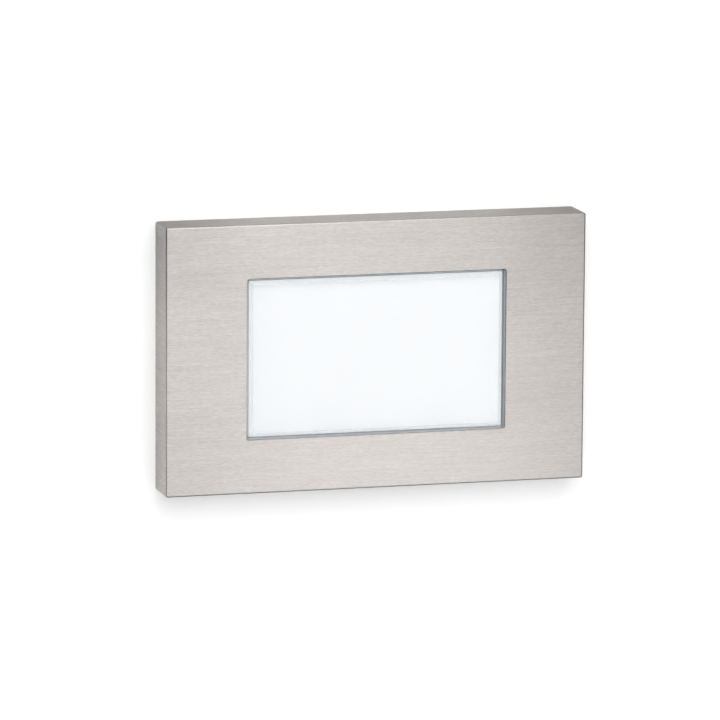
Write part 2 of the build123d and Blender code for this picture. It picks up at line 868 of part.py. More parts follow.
with BuildPart() as rear_gasket:
    with BuildSketch(facing(cover_front_y)):
        RectangleRounded(tub_length, tub_height, tub_corner_radius)
        RectangleRounded(chamber_length, chamber_height, chamber_corner_radius, mode=Mode.SUBTRACT)
        with Locations(*corners(post_x, post_z)):
            Circle(cover_post_radius)
        with Locations(*corners(post_x, post_z)):
            Circle(cover_screw_radius + shank_gap, mode=Mode.SUBTRACT)
    extrude(amount=cover_gasket_thickness)

rear_gasket.part.label = "rear_gasket"
export_step(rear_gasket.part, "parts/rear_gasket.step")

with BuildPart() as rear_cover:
    with BuildSketch(facing(cover_back_y)):
        RectangleRounded(tub_length, tub_height, tub_corner_radius)
    extrude(amount=cover_thickness)
    with BuildSketch(facing(cover_front_y)):
        with Locations((ground_x, 0)):
            Circle(ground_boss_radius)
    extrude(amount=ground_boss_height)
    with BuildSketch(facing(cover_back_y)):
        with Locations(*corners(post_x, post_z)):
            Circle(cover_screw_radius + shank_gap)
        with Locations((entry_x, 0)):
            Circle(entry_radius + entry_wall)
    extrude(amount=cover_thickness, mode=Mode.SUBTRACT)
    with BuildSketch(facing(cover_back_y)):
        with Locations((ground_x, 0)):
            Circle(ground_screw_radius + thread_gap)
    extrude(amount=cover_thickness + ground_boss_height, mode=Mode.SUBTRACT)

rear_cover.part.label = "rear_cover"
export_step(rear_cover.part, "parts/rear_cover.step")

rear_cover_screw = pan_screw(
    cover_screw_head_radius,
    cover_screw_head_height,
    cover_screw_radius,
    cover_thickness + cover_gasket_thickness + cover_screw_bite - thread_gap,
)

with BuildPart(facing(cover_back_y)) as rear_cover_screws:
    with Locations(*corners(post_x, post_z)):
        with Locations(Rotation(180, 0, 0)):
            add(rear_cover_screw)

rear_cover_screws.part.label = "rear_cover_screws"
export_step(rear_cover_screws.part, "parts/rear_cover_screws.step")

with BuildPart() as supply_grommet:
    with BuildSketch(facing(cover_back_y + entry_lip_thickness)):
        with Locations((entry_x, 0)):
            Circle(entry_radius + entry_wall + entry_lip)
    extrude(amount=entry_lip_thickness)
    with BuildSketch(facing(cover_back_y)):
        with Locations((entry_x, 0)):
            Circle(entry_radius + entry_wall)
    extrude(amount=cover_thickness)
    with BuildSketch(facing(cover_front_y)):
        with Locations((entry_x, 0)):
            Circle(entry_radius + entry_wall + entry_lip)
    extrude(amount=entry_lip_thickness)
    with BuildSketch(facing(cover_back_y + entry_lip_thickness)):
        with Locations((entry_x, 0)):
            Circle(entry_radius)
    extrude(amount=cover_thickness + 2 * entry_lip_thickness, mode=Mode.SUBTRACT)

supply_grommet.part.label = "supply_grommet"
export_step(supply_grommet.part, "parts/supply_grommet.step")

ground_bolt = pan_screw(
    ground_screw_head_radius,
    ground_screw_head_height,
    ground_screw_radius,
    cover_thickness + ground_boss_height,
)

with BuildPart(facing(cover_back_y)) as ground_screw:
    with Locations((ground_x, 0)):
        with Locations(Rotation(180, 0, 0)):
            add(ground_bolt)

ground_screw.part.label = "ground_screw"
export_step(ground_screw.part, "parts/ground_screw.step")
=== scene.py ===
import math
from collections import namedtuple

import bmesh
import bpy
from mathutils import Matrix, Vector


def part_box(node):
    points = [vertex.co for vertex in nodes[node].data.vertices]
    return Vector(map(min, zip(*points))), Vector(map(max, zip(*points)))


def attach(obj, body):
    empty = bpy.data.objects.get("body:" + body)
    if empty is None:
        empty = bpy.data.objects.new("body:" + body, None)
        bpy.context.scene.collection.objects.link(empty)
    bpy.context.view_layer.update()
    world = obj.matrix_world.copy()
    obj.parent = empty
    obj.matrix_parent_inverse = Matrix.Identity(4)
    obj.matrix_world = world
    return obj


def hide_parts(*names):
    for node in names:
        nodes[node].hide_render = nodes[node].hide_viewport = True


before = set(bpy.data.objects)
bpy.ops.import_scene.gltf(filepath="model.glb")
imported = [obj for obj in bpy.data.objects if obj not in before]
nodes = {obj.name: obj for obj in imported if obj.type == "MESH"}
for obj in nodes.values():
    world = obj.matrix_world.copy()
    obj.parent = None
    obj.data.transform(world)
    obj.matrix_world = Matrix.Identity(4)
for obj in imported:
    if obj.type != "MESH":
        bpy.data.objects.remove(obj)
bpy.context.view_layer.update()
plate_low, plate_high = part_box("faceplate")

MM = 0.001


def add_object(name, data):
    thing = bpy.data.objects.new(name, data)
    bpy.context.scene.collection.objects.link(thing)
    return thing


# ---- Camera, fitted to the photograph's edges ----

YAW = math.radians(15.589)
PITCH = math.radians(10.169)
ROLL = math.radians(0.35)
DISTANCE = 1.79518
TRACK = (-0.004989, -0.001604)
LENS_MM = 307.2
SENSOR_MM = 36.0
CLIP = (0.05, 20)


def place_camera():
    forward = Vector((math.sin(YAW) * math.cos(PITCH), math.cos(YAW) * math.cos(PITCH), -math.sin(PITCH)))
    right = Vector((math.cos(YAW), -math.sin(YAW), 0))
    up = right.cross(forward)
    across = math.cos(ROLL) * right + math.sin(ROLL) * up
    upright = -math.sin(ROLL) * right + math.cos(ROLL) * up
    data = bpy.data.cameras.new("camera")
    data.sensor_width = SENSOR_MM
    data.lens = LENS_MM
    data.clip_start, data.clip_end = CLIP
    camera = add_object("camera", data)
    basis = Matrix((across, upright, -forward)).transposed()
    place = Vector((0, plate_low.y, 0)) - forward * DISTANCE + across * TRACK[0] + upright * TRACK[1]
    camera.matrix_world = Matrix.Translation(place) @ basis.to_4x4()
    bpy.context.scene.camera = camera


place_camera()

# ---- Node trees ----

# A Mix node's two inputs and its output, by the kind of value that it mixes.
MIX_SOCKETS = {"FLOAT": (2, 3, 0), "VECTOR": (4, 5, 1), "RGBA": (6, 7, 2)}
# Where most of a noise texture's values lie.
NOISE_RANGE = (0.3, 0.7)


def shaded(colour, share):
    return tuple(c * share for c in colour)


class Nodes:
    """The emptied node tree of a material or world, with short ways to add what this scene uses."""

    def __init__(self, owner, output="OutputMaterial"):
        owner.use_nodes = True
        self.tree = owner.node_tree
        self.tree.nodes.clear()
        self.output = self.add(output)

    def add(self, kind):
        return self.tree.nodes.new("ShaderNode" + kind)

    def link(self, source, target):
        self.tree.links.new(source, target)

    def feed(self, socket, value):
        """Links a socket to another node's output, or sets it to a number, a vector or a colour."""
        if isinstance(value, bpy.types.NodeSocket):
            self.link(value, socket)
        elif socket.type == "RGBA":
            socket.default_value = (*value, 1)
        else:
            socket.default_value = value

    def show(self, shader):
        """Makes a shader what the surface or the world shows."""
        self.link(shader, self.output.inputs[0])

    def math(self, operation, first, second=0.0):
        node = self.add("Math")
        node.operation = operation
        self.feed(node.inputs[0], first)
        self.feed(node.inputs[1], second)
        return node.outputs[0]

    def ramp(self, value, low, high, out_low, out_high):
        """A value from low to high becomes out_low to out_high."""
        node = self.add("MapRange")
        for socket, number in zip(node.inputs, (value, low, high, out_low, out_high)):
            self.feed(socket, number)
        return node.outputs[0]

    def axes(self, vector):
        """The parts of a vector, named X, Y and Z."""
        node = self.add("SeparateXYZ")
        self.link(vector, node.inputs[0])
        return node.outputs

    def mix(self, kind, share, first, second):
        """The first value where share is 0, the second where it is 1."""
        node = self.add("Mix")
        node.data_type = kind
        first_input, second_input, output = MIX_SOCKETS[kind]
        self.link(share, node.inputs[0])
        self.feed(node.inputs[first_input], first)
        self.feed(node.inputs[second_input], second)
        return node.outputs[output]

    def choose(self, share, first, second):
        """The first shader where share is 0, the second where it is 1."""
        node = self.add("MixShader")
        for socket, source in zip(node.inputs, (share, first, second)):
            self.link(source, socket)
        return node.outputs[0]


class Shader(Nodes):
    """A material whose colour, roughness and relief come from a few noise nodes."""

    def __init__(self, name):
        self.material = bpy.data.materials.new(name)
        super().__init__(self.material)
        self.bsdf = self.add("BsdfPrincipled")
        self.show(self.bsdf.outputs[0])
        self.coords = self.add("TexCoord").outputs

    def set(self, **values):
        """Sets or links the shader's own sockets, named with _ for a space."""
        for name, value in values.items():
            self.feed(self.bsdf.inputs[name.replace("_", " ")], value)

    def mapped(self, size, offset=(0, 0, 0)):
        """The object's coordinates, divided by a feature's size in millimetres: one, or one per axis."""
        sizes = size if isinstance(size, tuple) else (size, size, size)
        node = self.add("Mapping")
        node.inputs["Scale"].default_value = [1 / (MM * s) for s in sizes]
        node.inputs["Location"].default_value = offset
        self.link(self.coords["Object"], node.inputs["Vector"])
        return node.outputs[0]

    def noise(self, size, detail=3.0, roughness=0.5, offset=(0, 0, 0)):
        node = self.add("TexNoise")
        node.inputs["Scale"].default_value = 1.0
        node.inputs["Detail"].default_value = detail
        node.inputs["Roughness"].default_value = roughness
        self.link(self.mapped(size, offset), node.inputs["Vector"])
        return node.outputs["Fac"]

    def cells(self, size):
        node = self.add("TexVoronoi")
        node.inputs["Scale"].default_value = 1.0
        self.link(self.mapped(size), node.inputs["Vector"])
        return node.outputs["Distance"]

    def spread(self, noise, out_low, out_high):
        """The range where most of a noise's values lie becomes out_low to out_high."""
        return self.ramp(noise, *NOISE_RANGE, out_low, out_high)

    def tones(self, share, colour, first, second):
        """A colour in two tones of itself, mixed by share."""
        return self.mix("RGBA", share, shaded(colour, first), shaded(colour, second))

    def facing(self, axis):
        """How much a face looks along an axis of the object, either way, 0 to 1."""
        return self.math("ABSOLUTE", self.axes(self.coords["Normal"])[axis])

    def bump(self, height, distance_mm, strength):
        node = self.add("Bump")
        node.inputs["Distance"].default_value = distance_mm * MM
        node.inputs["Strength"].default_value = strength
        self.link(height, node.inputs["Height"])
        self.set(Normal=node.outputs[0])


# ---- The faceplate's steel ----

# Painted shade near the upper corners of the steel: its tone, how far it reaches, and how much of it shows on
# the front.
TOP_CORNER_SHADE_TINT = 0.5
TOP_CORNER_SHADE_REACH = 30.0 * MM
FRONT_SHADE_SHARE = 0.33
# Thin dark lines, painted shade on the front's edge roundings and dark joints at the corner seams: their
# colour, and how far down from the top those at the front's ends reach.
SHADE_AND_SEAM_COLOUR = (0.18, 0.215, 0.265)
EDGE_SHADE_LENGTH = 40.0 * MM
# Painted light on the window's walls, a brighter bluish tone that lifts the shade in the gap round the lens:
# its colour, and half the length and height of a box that holds the window but no rim wall.
WINDOW_WALL_LIGHT_COLOUR = (0.74, 0.78, 0.84)
WINDOW_WALL_REACH = (40.0 * MM, 24.5 * MM)
END_WALL_FACING = 0.7
STREAK_RANGE = (0.25, 0.75)
STREAK_TONES = (0.67, 1.33)


def painted_corner_shade_share(s):
    """How much painted shade darkens the steel: most near the upper corners, and less on the front."""
    place = s.axes(s.coords["Object"])
    across = s.math("SUBTRACT", plate_high.x, s.math("ABSOLUTE", place["X"]))
    down = s.math("SUBTRACT", plate_high.z, place["Z"])
    near = s.ramp(s.math("MAXIMUM", across, down), 0.0, TOP_CORNER_SHADE_REACH, 1.0, 0.0)
    cloud = s.spread(s.noise((7.0, 3.0, 3.0), offset=(1, 4, 2)), 0.55, 0.95)
    walls = s.ramp(s.facing("Y"), 0.0, 1.0, 1.0, FRONT_SHADE_SHARE)
    return s.math("MULTIPLY", s.math("MULTIPLY", near, cloud), walls)


def edge_shade_and_seam_share(s):
    """Thin dark lines: painted shade on the front's edge roundings, at the upper part of its ends and along
    its downward-facing foot, and dark joints at the corner seams.
    """
    down = s.math("SUBTRACT", plate_high.z, s.axes(s.coords["Object"])["Z"])
    upper = s.ramp(down, 0.0, EDGE_SHADE_LENGTH, 1.0, 0.0)
    upright = s.math("MULTIPLY", s.ramp(s.facing("X"), 0.15, 0.4, 0.0, 1.0), upper)
    foot = s.ramp(s.axes(s.coords["Normal"])["Z"], -0.5, -0.2, 0.8, 0.0)
    slope = s.ramp(s.facing("Y"), 0.1, 0.4, 0.0, 1.0)
    rounding_shade = s.math("MULTIPLY", slope, s.math("MAXIMUM", upright, foot))
    ends = s.ramp(s.facing("X"), 0.3, 0.6, 0.0, 1.0)
    seam = s.math("MULTIPLY", ends, s.ramp(s.facing("Z"), 0.3, 0.6, 0.0, 0.6))
    return s.math("MAXIMUM", rounding_shade, seam)


def painted_window_wall_light_share(s):
    """The share of painted light: 1 on the walls of the window, 0 on the brushed faces."""
    place = s.axes(s.coords["Object"])
    across = s.math("MULTIPLY", s.math("ABSOLUTE", place["X"]), 1 / WINDOW_WALL_REACH[0])
    along = s.math("MULTIPLY", s.math("ABSOLUTE", place["Z"]), 1 / WINDOW_WALL_REACH[1])
    inside = s.math("LESS_THAN", s.math("MAXIMUM", across, along), 1.0)
    return s.math("MULTIPLY", inside, s.ramp(s.facing("Y"), 0.2, 0.5, 1.0, 0.0))


def streaks(s, sideways, length, width, **settings):
    """Streaks that run along the plate, and from front to back on its two end walls."""
    lengthwise = s.noise((length, width, width), **settings)
    inwards = s.noise((width, length, width), **settings)
    return s.mix("FLOAT", sideways, lengthwise, inwards)


def brushed_steel(name, colour, roughness):
    """Sheet stainless steel brushed along its length: fine broken lines, a slow drift in tone, with painted
    shade on its corners and edges and painted light on the window's walls.
    """
    s = Shader(name)
    s.bsdf.distribution = "GGX"
    sideways = s.math("GREATER_THAN", s.facing("X"), END_WALL_FACING)
    short = s.ramp(streaks(s, sideways, 1.5, 0.15, detail=2.0, roughness=0.6), *STREAK_RANGE, -0.5, 0.5)
    long = s.ramp(streaks(s, sideways, 11.0, 0.2, detail=1.0, offset=(3, 1, 7)), *STREAK_RANGE, -0.22, 0.22)
    lines = s.math("ADD", short, long)
    coarser = s.ramp(s.facing("Y"), 0.3, 0.7, 1.8, 1.0)
    drift = s.spread(s.noise((40.0, 40.0, 6.0), detail=2.0, offset=(5, 2, 1)), -0.05, 0.05)
    tone = s.math("ADD", s.math("MULTIPLY", lines, coarser), drift)
    brushed = s.tones(s.ramp(tone, -1.0, 1.0, 0.0, 1.0), colour, *STREAK_TONES)
    # Painted shade near the upper corners.
    corner_shaded = s.mix("RGBA", painted_corner_shade_share(s), brushed, shaded(colour, TOP_CORNER_SHADE_TINT))
    # Painted light on the window's walls.
    window_walls_lit = s.mix("RGBA", painted_window_wall_light_share(s), corner_shaded, WINDOW_WALL_LIGHT_COLOUR)
    s.set(
        Metallic=1.0,
        Anisotropic=0.75,
        # Painted shade lines on the edge roundings, and dark joints at the corner seams.
        Base_Color=s.mix("RGBA", edge_shade_and_seam_share(s), window_walls_lit, SHADE_AND_SEAM_COLOUR),
        Roughness=s.ramp(lines, -0.6, 0.6, roughness - 0.06, roughness + 0.06),
        Tangent=s.mix("VECTOR", sideways, (0, 1, 1), (0, 0, 1)),
    )
    s.bump(lines, 0.006, 0.5)
    return s.material


# ---- The other materials ----

GLASS_IOR = 1.5
GLASS_GLOW = (0.9, 1.0, 0.98)


def plated_metal(name, colour, roughness, mottle=0.06):
    """Plated, dyed, enamelled or turned metal: soft mottling, fine pitting."""
    s = Shader(name)
    cloud = s.noise(2.4, detail=4.0, roughness=0.6)
    s.set(
        Metallic=1.0,
        Base_Color=s.tones(s.spread(cloud, 0.0, 1.0), colour, 1 - mottle, 1 + mottle),
        Roughness=s.spread(cloud, roughness - 0.06, roughness + 0.08),
    )
    s.bump(s.noise(0.12, detail=2.0), 0.006, 0.5)
    return s.material


def cast_metal(name, colour, roughness):
    """Bare die-cast aluminium: a fine dull skin with faint flow marks."""
    s = Shader(name)
    flow = s.noise((14.0, 5.0, 9.0), detail=5.0, roughness=0.6)
    skin = s.noise(0.35, detail=4.0, roughness=0.7)
    s.set(
        Metallic=0.85,
        Base_Color=s.tones(s.spread(flow, 0.0, 1.0), colour, 0.9, 1.06),
        Roughness=s.spread(skin, roughness - 0.05, roughness + 0.08),
    )
    s.bump(skin, 0.03, 0.5)
    return s.material


def plastic(name, colour, roughness, grain_mm=0.25, relief_mm=0.008, drift=0.05, **sockets):
    """Moulded plastic, rubber or lacquer: a fine grain and a slow change of tone."""
    s = Shader(name)
    slow = s.noise(6.0)
    grain = s.noise(grain_mm, roughness=0.6)
    s.set(
        Base_Color=s.tones(s.spread(slow, 0.0, 1.0), colour, 1 - drift, 1 + drift),
        Roughness=s.spread(grain, roughness - 0.04, roughness + 0.06),
        **sockets,
    )
    s.bump(grain, relief_mm, 0.6)
    return s.material


def foam(name, colour):
    """Closed-cell foam: a skin pitted with small cells."""
    s = Shader(name)
    pores = s.cells(0.55)
    s.set(Base_Color=s.tones(s.ramp(pores, 0.0, 0.6, 0.0, 1.0), colour, 0.6, 1.3), Roughness=0.9)
    s.bump(pores, 0.12, 0.7)
    return s.material


def clear_glass(name, tint, roughness=0.0, clear=1.0, glow=0.0):
    """Polished or ground glass with the faintest waviness; a ground edge carries some of the lamp's light."""
    s = Shader(name)
    wave = s.noise(16.0, detail=1.0)
    s.set(
        Transmission_Weight=clear,
        IOR=GLASS_IOR,
        Base_Color=s.tones(s.spread(wave, 0.0, 1.0), tint, 1.0, 0.99),
        Roughness=roughness,
        Emission_Color=GLASS_GLOW,
        Emission_Strength=glow,
    )
    s.bump(wave, 0.001, 0.05)
    rays = s.add("LightPath").outputs
    passing = s.math("MAXIMUM", rays["Is Shadow Ray"], rays["Is Diffuse Ray"])
    s.show(s.choose(passing, s.bsdf.outputs[0], s.add("BsdfTransparent").outputs[0]))
    return s.material


STEEL = (0.613, 0.577, 0.548)
ZINC = (0.66, 0.67, 0.68)
ALUMINIUM = (0.62, 0.63, 0.64)

looks = {
    "faceplate": brushed_steel("steel_brushed", STEEL, 0.42),
    "screws": plated_metal("steel_plated", ZINC, 0.34),
    "grub": plated_metal("steel_turned", (0.5, 0.49, 0.48), 0.3),
    "sheet": plated_metal("steel_sheet", ZINC, 0.38, mottle=0.09),
    "cast": cast_metal("aluminium_cast", ALUMINIUM, 0.5),
    "foam": foam("foam_black", (0.03, 0.03, 0.031)),
    "glass": clear_glass("glass_clear", (0.985, 0.995, 1.0)),
    "glass_arris": clear_glass("glass_arris", (0.80, 0.83, 0.84), 0.4, clear=0.5),
    "glass_bevel": clear_glass("glass_bevel", (0.93, 0.95, 0.955), 0.12, clear=0.7),
    # Painted shade: a dark band where the lens's bevel meets its edge, standing for the shadowed gap beside
    # it.
    "glass_rim_painted_shade": clear_glass("glass_rim_painted_shade", (0.36, 0.39, 0.40), 0.5, clear=0.2),
    "glass_edge": clear_glass("glass_edge", (0.80, 0.84, 0.85), 0.4, clear=0.3, glow=0.32),
    "opal": plastic(
        "acrylic_opal", (0.63, 0.635, 0.64), 0.5, grain_mm=0.1, relief_mm=0.002, drift=0.008,
        Emission_Color=(0.96, 0.975, 1.0), Emission_Strength=0.36,
    ),
    "white": plastic("polycarbonate_white", (0.88, 0.88, 0.87), 0.3, drift=0.02),
    "silicone": plastic("silicone_grey", (0.36, 0.375, 0.39), 0.6, drift=0.08),
    "rubber": plastic("rubber_black", (0.025, 0.025, 0.026), 0.65, relief_mm=0.015, drift=0.15),
    "mask_white": plastic("mask_white", (0.85, 0.85, 0.83), 0.35, grain_mm=0.4, drift=0.02),
    "epoxy_green": plastic("epoxy_green", (0.035, 0.16, 0.07), 0.35, grain_mm=0.5, drift=0.2),
    "phosphor": plastic("phosphor", (0.86, 0.66, 0.14), 0.4, grain_mm=0.08, relief_mm=0.01, drift=0.06),
    "nylon": plastic("nylon_natural", (0.78, 0.76, 0.68), 0.45),
    "nylon_green": plastic("nylon_green", (0.03, 0.22, 0.09), 0.42, drift=0.08),
    "black": plastic("moulding_black", (0.02, 0.02, 0.02), 0.5, drift=0.1),
    "ferrite": plastic("ferrite", (0.03, 0.03, 0.032), 0.6, grain_mm=0.2, relief_mm=0.02, drift=0.2),
    "tape": plastic("tape_yellow", (0.78, 0.52, 0.06), 0.35, grain_mm=0.6, drift=0.08),
    "sleeve": plastic("sleeve_blue", (0.012, 0.02, 0.06), 0.25, grain_mm=0.6, drift=0.1),
    "varistor": plastic("epoxy_blue", (0.02, 0.07, 0.3), 0.4, grain_mm=0.5, relief_mm=0.02, drift=0.12),
    "fuse": plastic("moulding_brown", (0.05, 0.02, 0.01), 0.45, drift=0.12),
    "film": plastic("film_natural", (0.72, 0.66, 0.45), 0.4),
    "pad": plastic("pad_blue", (0.25, 0.32, 0.45), 0.75, grain_mm=0.3, drift=0.1),
    "lead_red": plastic("insulation_red", (0.5, 0.02, 0.015), 0.4, drift=0.08),
    "lead_black": plastic("insulation_black", (0.02, 0.02, 0.02), 0.4, drift=0.1),
    "copper": plated_metal("copper_enamelled", (0.62, 0.24, 0.08), 0.25),
    "green_dyed": plated_metal("steel_green", (0.06, 0.3, 0.1), 0.4),
}

finishes = {
    "faceplate": "faceplate",
    "set_screw_left": "grub",
    "set_screw_right": "grub",
    "mounting_bracket": "sheet",
    "wall_gasket": "foam",
    "box_screws": "screws",
    "housing": "cast",
    "housing_screws": "screws",
    "lens": "glass",
    "diffuser": "opal",
    "lens_gasket": "silicone",
    "reflector": "white",
    "thermal_pad": "pad",
    "led_board": "mask_white",
    "leds": "phosphor",
    "led_connector": "nylon",
    "led_board_screws": "screws",
    "lead_grommet": "rubber",
    "led_lead_red": "lead_red",
    "led_lead_black": "lead_black",
    "driver_insulator": "film",
    "driver_board": "epoxy_green",
    "driver_board_screws": "screws",
    "transformer_core": "ferrite",
    "transformer_winding": "tape",
    "input_capacitor": "sleeve",
    "output_capacitor": "sleeve",
    "bridge_rectifier": "black",
    "fuse": "fuse",
    "driver_chip": "black",
    "choke": "ferrite",
    "varistor": "varistor",
    "terminal_block": "nylon_green",
    "rear_gasket": "silicone",
    "rear_cover": "cast",
    "rear_cover_screws": "screws",
    "supply_grommet": "rubber",
    "ground_screw": "green_dyed",
}

for node, look in finishes.items():
    mesh = nodes[node].data
    mesh.materials.clear()
    mesh.materials.append(looks[look])

# ---- Helpers for the pieces that the scene adds ----

# Points of one shape that lie closer together than this are one point.
WELD = 1e-7


def new_piece(name, mesh, body, slot, *replaced, smooth_angle=None):
    """A piece of the scene that rides on a body and stands for the nodes named, if any."""
    piece = add_object(name, mesh)
    if smooth_angle is not None:
        mesh.shade_smooth()
        mesh.set_sharp_from_angle(angle=math.radians(smooth_angle))
    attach(piece, body)
    if replaced:
        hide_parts(*replaced)


def to_mesh(shape, name, *slots):
    bmesh.ops.remove_doubles(shape, verts=shape.verts, dist=WELD)
    bmesh.ops.recalc_face_normals(shape, faces=shape.faces)
    mesh = bpy.data.meshes.new(name)
    shape.to_mesh(mesh)
    shape.free()
    for look in slots:
        mesh.materials.append(looks[look])
    return mesh


def bridge(shape, lower, upper, material=0):
    """A closed band of faces between two loops of points."""
    for i in range(len(lower)):
        j = (i + 1) % len(lower)
        shape.faces.new((lower[i], lower[j], upper[j], upper[i])).material_index = material


def circle(radius, steps):
    return [
        (radius * math.cos(math.tau * i / steps), radius * math.sin(math.tau * i / steps))
        for i in range(steps)
    ]


def nipped_loop(shape, centre, half_x, half_z, nip, y):
    """The points of a rectangle across Y, with its four corners cut off."""
    corners = [
        (half_x - nip, half_z),
        (-half_x + nip, half_z),
        (-half_x, half_z - nip),
        (-half_x, -half_z + nip),
    ]
    corners += [(-x, -z) for x, z in corners]
    return [shape.verts.new((centre[0] + x, y, centre[1] + z)) for x, z in corners]


def middle(low, high):
    """The x and z of a box's middle."""
    return (low.x + high.x) / 2, (low.z + high.z) / 2


# ---- The lens ----

LENS_BEVEL = 1.2 * MM
LENS_ARRIS = 0.22 * MM
FRONT_ARRIS_DEPTH = 0.35 * LENS_ARRIS
CORNER_ARRIS = 0.25 * MM
FRONT_CORNER_ARRIS = 0.4 * CORNER_ARRIS
GLASS_LOOKS = ("glass", "glass_arris", "glass_bevel", "glass_rim_painted_shade", "glass_edge")
# The looks of the bands round the lens, from the front's arris to the back's; the third is painted shade, a
# dark band that stands for the shadowed gap round the lens.
BAND_LOOKS = ("glass_arris", "glass_bevel", "glass_rim_painted_shade", "glass_edge", "glass_edge")


def cut_glass():
    """The lens: polished faces and bevel, ground edges, and a fine arris wherever two of them meet."""
    low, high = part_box("lens")
    shape = bmesh.new()
    profile = (
        (LENS_BEVEL + LENS_ARRIS, low.y, FRONT_CORNER_ARRIS),
        (LENS_BEVEL, low.y + FRONT_ARRIS_DEPTH, FRONT_CORNER_ARRIS),
        (LENS_ARRIS, low.y + LENS_BEVEL, CORNER_ARRIS),
        (0.0, low.y + LENS_BEVEL + LENS_ARRIS, CORNER_ARRIS),
        (0.0, high.y - LENS_ARRIS, CORNER_ARRIS),
        (LENS_ARRIS, high.y, CORNER_ARRIS),
    )
    loops = [nipped_loop(shape, (0, 0), high.x - inset, high.z - inset, nip, y) for inset, y, nip in profile]
    for inner, outer, look in zip(loops, loops[1:], BAND_LOOKS):
        bridge(shape, inner, outer, GLASS_LOOKS.index(look))
    shape.faces.new(loops[0])
    shape.faces.new(loops[-1])
    return to_mesh(shape, "lens_glass", *GLASS_LOOKS)


new_piece("lens_glass", cut_glass(), "fixture", "lens", "lens")

# ---- Threaded screws ----

TURN_STEPS = 28
# How far the thread stands out in the rows that share one pitch, in shares of its depth.
THREAD_PROFILE = (0.0, 0.0, 0.75, 1.0, 1.0, 0.75)
THREAD_WELD = 1e-6


def ring(shape, radius, z):
    return [shape.verts.new((x, y, z)) for x, y in circle(radius, TURN_STEPS)]


def thread(shape, root, crest, pitch, bottom, top):
    """A helical thread between two heights: its rows follow the helix, and it runs out at both ends."""
    rows_per_turn = len(THREAD_PROFILE)
    rows = int(math.ceil((top - bottom) / pitch + 1) * rows_per_turn) + 1
    grid = []
    for row in range(rows):
        line = []
        for step in range(TURN_STEPS + 1):
            z = bottom + pitch * (row / rows_per_turn - 1 + step / TURN_STEPS)
            z = min(max(z, bottom), top)
            run_out = min(1.0, (z - bottom) / pitch, (top - z) / pitch)
            radius = root + (crest - root) * THREAD_PROFILE[row % rows_per_turn] * max(run_out, 0.0)
            angle = math.tau * step / TURN_STEPS
            line.append(shape.verts.new((radius * math.cos(angle), radius * math.sin(angle), z)))
        grid.append(line)
    for lower, upper in zip(grid, grid[1:]):
        for i in range(TURN_STEPS):
            shape.faces.new((lower[i], lower[i + 1], upper[i + 1], upper[i]))


def socket_floor(shape, rim, outline, depth, taper):
    """Closes a screw's end: a flat land from its rim to a recess of that outline, then the recess itself."""
    z = rim[0].co.z
    mouth = [shape.verts.new((x, y, z)) for x, y in outline]
    edges = [shape.edges.get((a, b)) or shape.edges.new((a, b)) for a, b in zip(rim, rim[1:] + rim[:1])]
    edges += [shape.edges.new((a, b)) for a, b in zip(mouth, mouth[1:] + mouth[:1])]
    bmesh.ops.triangle_fill(shape, edges=edges, use_beauty=True)
    floor = [shape.verts.new((v.co.x * taper, v.co.y * taper, z - depth)) for v in mouth]
    bridge(shape, mouth, floor)
    shape.faces.new(floor)


def cross_outline(reach, half_width):
    """The twelve corners of a cross recess."""
    points = []
    for turn in range(4):
        for x, y in ((reach, half_width), (half_width, half_width), (half_width, reach)):
            for _ in range(turn):
                x, y = -y, x
            points.append((x, y))
    return points


def place_shape(shape, place, axis):
    """Turns what was modelled along +Z onto an axis and moves it into place."""
    turn = Vector((0, 0, 1)).rotation_difference(Vector(axis)).to_matrix().to_4x4()
    bmesh.ops.transform(shape, matrix=Matrix.Translation(place) @ turn, verts=shape.verts)


def screw_piece(shape, node, body, look):
    """Stands a threaded shape for a CAD node, once the points that fall together at its ends are merged."""
    bmesh.ops.remove_doubles(shape, verts=shape.verts, dist=THREAD_WELD)
    bmesh.ops.dissolve_degenerate(shape, edges=shape.edges, dist=WELD)
    new_piece(node + "_threaded", to_mesh(shape, node, look), body, node, node, smooth_angle=30)


PanScrew = namedtuple("PanScrew", "head_radius head_height shank_radius pitch look faces_room")

PAN_SCREWS = {
    "box_screws": PanScrew(3.45 * MM, 2.0 * MM, 1.75 * MM, 0.79 * MM, "screws", faces_room=True),
    "housing_screws": PanScrew(2.75 * MM, 2.0 * MM, 1.5 * MM, 0.5 * MM, "screws", faces_room=True),
    "led_board_screws": PanScrew(2.25 * MM, 1.6 * MM, 1.25 * MM, 0.45 * MM, "screws", faces_room=True),
    "driver_board_screws": PanScrew(2.25 * MM, 1.6 * MM, 1.25 * MM, 0.45 * MM, "screws", faces_room=False),
    "rear_cover_screws": PanScrew(2.75 * MM, 1.8 * MM, 1.5 * MM, 0.5 * MM, "screws", faces_room=False),
    "ground_screw": PanScrew(3.8 * MM, 2.4 * MM, 2.0 * MM, 0.7 * MM, "green_dyed", faces_room=False),
}
# A pan head's outline in shares of its radius and height, from its seat to the edge of its flat top.
HEAD_OUTLINE = ((0.97, 0.0), (1.0, 0.06), (1.0, 0.45), (0.96, 0.68), (0.86, 0.86), (0.72, 0.96), (0.62, 1.0))
# The cross recess: reach and half width in shares of the head's radius, depth in shares of its height,
# and its floor in shares of its mouth.
CROSS_REACH = 0.54
CROSS_HALF_WIDTH = 0.13
CROSS_DEPTH = 0.5
CROSS_TAPER = 0.55
# The thread's depth in shares of its pitch, the bare tip's length in shares of the shank's radius,
# and the tip's end in shares of the root's radius.
THREAD_DEPTH = 0.6
TIP_LENGTH = 0.35
TIP_END = 0.7


